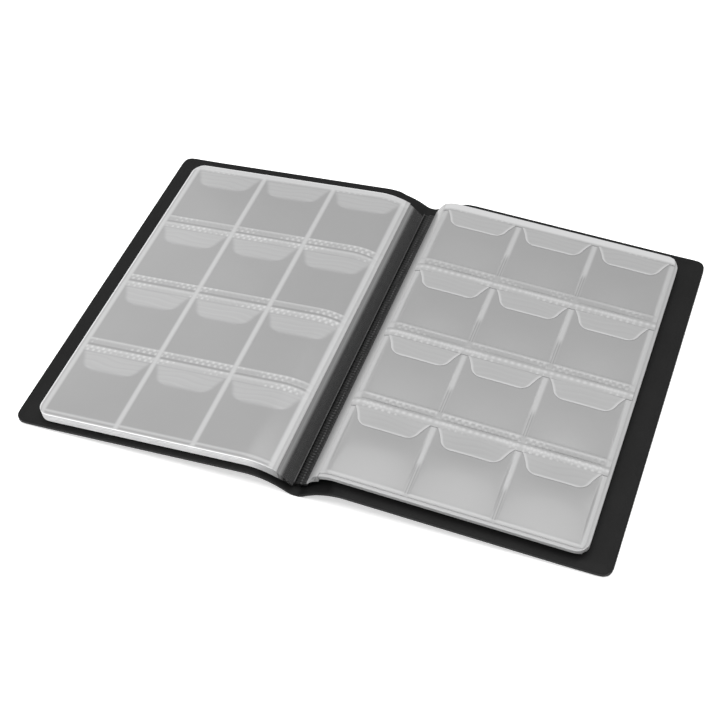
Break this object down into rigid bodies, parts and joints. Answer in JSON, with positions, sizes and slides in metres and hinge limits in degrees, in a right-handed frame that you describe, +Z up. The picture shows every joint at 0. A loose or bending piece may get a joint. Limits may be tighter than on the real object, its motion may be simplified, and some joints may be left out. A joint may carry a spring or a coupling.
{
  "type": "coin album",
  "caption": "Open coin album with a black flexible cover and clear pocket leaves that turn, each pocket closed by a tucked film flap.",
  "frame": {"origin": "on the table under the middle of the spine, half way along it", "axes": "+X across the open covers towards the back cover, +Y along the spine towards the top of the pages, +Z up"},
  "size_m": [0.2996, 0.205, 0.0169],
  "materials": {
    "cover_skin": "fine leather-like grain, black soft PVC",
    "cover_liner": "smooth black soft PVC",
    "cover_board": "grey binder's board",
    "binding": "black PVC with fine welded ribs",
    "film_margin": "clear vinyl film",
    "leaf_sheet": "clear vinyl film, milky in a stack",
    "pocket_film": "clear vinyl film with welded edges",
    "flap_film": "clear vinyl film with knurled weld bands"
  },
  "bodies": {
    "spine": {"spine_skin": "cover_skin", "spine_liner": "cover_liner", "binding_strip": "binding"},
    "front_cover": {"front_outer_skin": "cover_skin", "front_board": "cover_board", "front_liner": "cover_liner"},
    "back_cover": {"back_outer_skin": "cover_skin", "back_board": "cover_board", "back_liner": "cover_liner"},
    "left_margins": {"left_margins": "film_margin"},
    "right_margins": {"right_margins": "film_margin"},
    "leaf_01": {"leaf_01_sheet": "leaf_sheet", "leaf_01_pockets": "pocket_film", "leaf_01_flaps": "flap_film"},
    "leaf_02": {"leaf_02_sheet": "leaf_sheet", "leaf_02_pockets": "pocket_film", "leaf_02_flaps": "flap_film"},
    "leaf_03": {"leaf_03_sheet": "leaf_sheet", "leaf_03_pockets": "pocket_film", "leaf_03_flaps": "flap_film"},
    "leaf_04": {"leaf_04_sheet": "leaf_sheet", "leaf_04_pockets": "pocket_film", "leaf_04_flaps": "flap_film"},
    "leaf_05": {"leaf_05_sheet": "leaf_sheet", "leaf_05_pockets": "pocket_film", "leaf_05_flaps": "flap_film"},
    "leaf_06": {"leaf_06_sheet": "leaf_sheet", "leaf_06_pockets": "pocket_film", "leaf_06_flap_bands": "flap_film"},
    "leaf_07": {"leaf_07_sheet": "leaf_sheet", "leaf_07_pockets": "pocket_film", "leaf_07_flaps": "flap_film"},
    "leaf_08": {"leaf_08_sheet": "leaf_sheet", "leaf_08_pockets": "pocket_film", "leaf_08_flaps": "flap_film"},
    "leaf_09": {"leaf_09_sheet": "leaf_sheet", "leaf_09_pockets": "pocket_film", "leaf_09_flaps": "flap_film"},
    "leaf_10": {"leaf_10_sheet": "leaf_sheet", "leaf_10_pockets": "pocket_film", "leaf_10_flaps": "flap_film"},
    "flap_01": {"flap_01": "flap_film"},
    "flap_02": {"flap_02": "flap_film"},
    "flap_03": {"flap_03": "flap_film"},
    "flap_04": {"flap_04": "flap_film"},
    "flap_05": {"flap_05": "flap_film"},
    "flap_06": {"flap_06": "flap_film"},
    "flap_07": {"flap_07": "flap_film"},
    "flap_08": {"flap_08": "flap_film"},
    "flap_09": {"flap_09": "flap_film"},
    "flap_10": {"flap_10": "flap_film"},
    "flap_11": {"flap_11": "flap_film"},
    "flap_12": {"flap_12": "flap_film"}
  },
  "joints": [
    {"name": "front_cover_hinge", "type": "hinge", "parent": "spine", "child": "front_cover", "pos_m": [-0.0163, 0, 0.01073], "axis": [0, 1, 0], "range_deg": [0, 93.5]},
    {"name": "back_cover_hinge", "type": "hinge", "parent": "spine", "child": "back_cover", "pos_m": [0.0163, 0, 0.01073], "axis": [0, -1, 0], "range_deg": [0, 93.5]},
    {"name": "left_margins_fold", "type": "hinge", "parent": "spine", "child": "left_margins", "pos_m": [-0.004, 0, 0.01466], "axis": [0, 1, 0], "range_deg": [0, 93.5]},
    {"name": "right_margins_fold", "type": "hinge", "parent": "spine", "child": "right_margins", "pos_m": [0.004, 0, 0.01466], "axis": [0, -1, 0], "range_deg": [0, 93.5]},
    {"name": "leaf_05_turn", "type": "hinge", "parent": "left_margins", "child": "leaf_05", "pos_m": [0, 0, 0.01466], "axis": [0, -1, 0], "range_deg": [-150, 0]},
    {"name": "leaf_04_turn", "type": "hinge", "parent": "left_margins", "child": "leaf_04", "pos_m": [0, 0, 0.01466], "axis": [0, -1, 0], "range_deg": [-125.3, 0]},
    {"name": "leaf_03_turn", "type": "hinge", "parent": "left_margins", "child": "leaf_03", "pos_m": [0, 0, 0.01466], "axis": [0, -1, 0], "range_deg": [-100.25, 0]},
    {"name": "leaf_02_turn", "type": "hinge", "parent": "left_margins", "child": "leaf_02", "pos_m": [0, 0, 0.01466], "axis": [0, -1, 0], "range_deg": [-75.05, 0]},
    {"name": "leaf_01_turn", "type": "hinge", "parent": "left_margins", "child": "leaf_01", "pos_m": [0, 0, 0.01466], "axis": [0, -1, 0], "range_deg": [-50, 0]},
    {"name": "leaf_06_turn", "type": "hinge", "parent": "right_margins", "child": "leaf_06", "pos_m": [0, 0, 0.01466], "axis": [0, 1, 0], "range_deg": [-150, 0]},
    {"name": "leaf_07_turn", "type": "hinge", "parent": "right_margins", "child": "leaf_07", "pos_m": [0, 0, 0.01466], "axis": [0, 1, 0], "range_deg": [-125.3, 0]},
    {"name": "leaf_08_turn", "type": "hinge", "parent": "right_margins", "child": "leaf_08", "pos_m": [0, 0, 0.01466], "axis": [0, 1, 0], "range_deg": [-100.25, 0]},
    {"name": "leaf_09_turn", "type": "hinge", "parent": "right_margins", "child": "leaf_09", "pos_m": [0, 0, 0.01466], "axis": [0, 1, 0], "range_deg": [-75.05, 0]},
    {"name": "leaf_10_turn", "type": "hinge", "parent": "right_margins", "child": "leaf_10", "pos_m": [0, 0, 0.01466], "axis": [0, 1, 0], "range_deg": [-50, 0]},
    {"name": "flap_10_lift", "type": "hinge", "parent": "leaf_06", "child": "flap_10", "pos_m": [0.03197, -0.0538, 0.01549], "axis": [0.9981, 0, -0.061], "range_deg": [-70, 0]},
    {"name": "flap_11_lift", "type": "hinge", "parent": "leaf_06", "child": "flap_11", "pos_m": [0.07319, -0.0538, 0.01297], "axis": [0.9981, 0, -0.061], "range_deg": [-70, 0]},
    {"name": "flap_12_lift", "type": "hinge", "parent": "leaf_06", "child": "flap_12", "pos_m": [0.11442, -0.0538, 0.01044], "axis": [0.9981, 0, -0.061], "range_deg": [-70, 0]},
    {"name": "flap_07_lift", "type": "hinge", "parent": "leaf_06", "child": "flap_07", "pos_m": [0.03197, -0.0062, 0.01549], "axis": [0.9981, 0, -0.061], "range_deg": [-70, 0]},
    {"name": "flap_08_lift", "type": "hinge", "parent": "leaf_06", "child": "flap_08", "pos_m": [0.07319, -0.0062, 0.01297], "axis": [0.9981, 0, -0.061], "range_deg": [-70, 0]},
    {"name": "flap_09_lift", "type": "hinge", "parent": "leaf_06", "child": "flap_09", "pos_m": [0.11442, -0.0062, 0.01044], "axis": [0.9981, 0, -0.061], "range_deg": [-70, 0]},
    {"name": "flap_04_lift", "type": "hinge", "parent": "leaf_06", "child": "flap_04", "pos_m": [0.03197, 0.0414, 0.01549], "axis": [0.9981, 0, -0.061], "range_deg": [-70, 0]},
    {"name": "flap_05_lift", "type": "hinge", "parent": "leaf_06", "child": "flap_05", "pos_m": [0.07319, 0.0414, 0.01297], "axis": [0.9981, 0, -0.061], "range_deg": [-70, 0]},
    {"name": "flap_06_lift", "type": "hinge", "parent": "leaf_06", "child": "flap_06", "pos_m": [0.11442, 0.0414, 0.01044], "axis": [0.9981, 0, -0.061], "range_deg": [-70, 0]},
    {"name": "flap_01_lift", "type": "hinge", "parent": "leaf_06", "child": "flap_01", "pos_m": [0.03197, 0.089, 0.01549], "axis": [0.9981, 0, -0.061], "range_deg": [-70, 0]},
    {"name": "flap_02_lift", "type": "hinge", "parent": "leaf_06", "child": "flap_02", "pos_m": [0.07319, 0.089, 0.01297], "axis": [0.9981, 0, -0.061], "range_deg": [-70, 0]},
    {"name": "flap_03_lift", "type": "hinge", "parent": "leaf_06", "child": "flap_03", "pos_m": [0.11442, 0.089, 0.01044], "axis": [0.9981, 0, -0.061], "range_deg": [-70, 0]}
  ],
  "couplings": [
    {"joint": "left_margins_fold", "follows": "front_cover_hinge", "ratio": 1},
    {"joint": "right_margins_fold", "follows": "back_cover_hinge", "ratio": 1},
    {"joint": "leaf_04_turn", "follows": "leaf_05_turn", "ratio": 0.832},
    {"joint": "leaf_03_turn", "follows": "leaf_05_turn", "ratio": 0.665},
    {"joint": "leaf_02_turn", "follows": "leaf_05_turn", "ratio": 0.497},
    {"joint": "leaf_01_turn", "follows": "leaf_05_turn", "ratio": 0.33},
    {"joint": "leaf_07_turn", "follows": "leaf_06_turn", "ratio": 0.832},
    {"joint": "leaf_08_turn", "follows": "leaf_06_turn", "ratio": 0.665},
    {"joint": "leaf_09_turn", "follows": "leaf_06_turn", "ratio": 0.497},
    {"joint": "leaf_10_turn", "follows": "leaf_06_turn", "ratio": 0.33}
  ]
}
